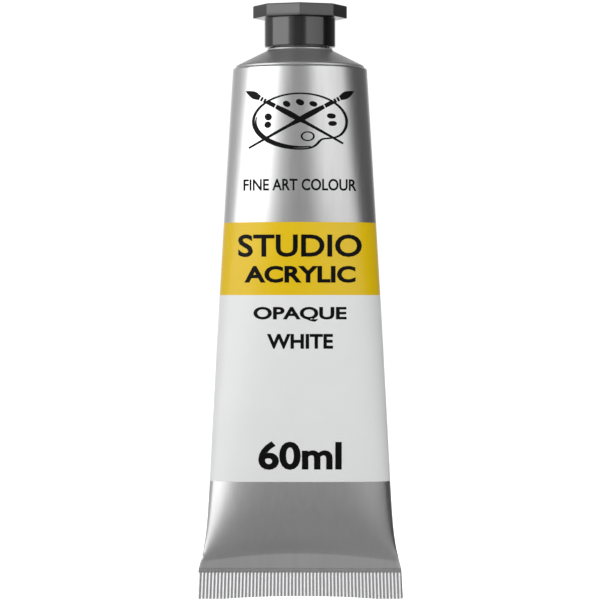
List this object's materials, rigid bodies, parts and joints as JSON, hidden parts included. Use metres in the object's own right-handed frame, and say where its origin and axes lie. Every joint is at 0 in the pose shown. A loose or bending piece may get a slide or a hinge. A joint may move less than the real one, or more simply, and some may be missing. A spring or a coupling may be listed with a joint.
{
  "type": "paint tube",
  "caption": "Collapsible paint tube: a round silver sleeve pressed flat to a ribbed tail, a conical shoulder with a threaded nozzle, and a black octagonal screw cap.",
  "frame": {"origin": "middle of the flat tail's lower edge, at the bottom of the tube's box", "axes": "+Z along the tube from its tail to its cap, -Y out of the printed front, +X along the width of the flat tail"},
  "size_m": [0.046, 0.03, 0.1327],
  "materials": {
    "sleeve_laminate": "satin silver foil laminate, printed",
    "silver_moulding": "satin silver-tinted polyethylene",
    "barrier_foil": "foil laminate",
    "white_paint": "thick white paint",
    "liner_foam": "soft foam",
    "black_plastic": "glossy black moulded plastic"
  },
  "bodies": {
    "tube": {"tube_sleeve": "sleeve_laminate", "shoulder_nozzle": "silver_moulding", "barrier_insert": "barrier_foil", "paint_fill": "white_paint"},
    "liner": {"cap_liner": "liner_foam"},
    "cap": {"cap": "black_plastic"}
  },
  "joints": [
    {"name": "cap_lift", "type": "slide", "parent": "tube", "child": "liner", "axis": [0, 0, 1], "range_m": [0, 0.0085]},
    {"name": "cap_turn", "type": "hinge", "parent": "liner", "child": "cap", "pos_m": [0, 0, 0.1234], "axis": [0, 0, 1], "range_deg": [0, 1260]}
  ],
  "couplings": [
    {"joint": "cap_lift", "follows": "cap_turn", "m_per_rad": 0.00038197}
  ]
}
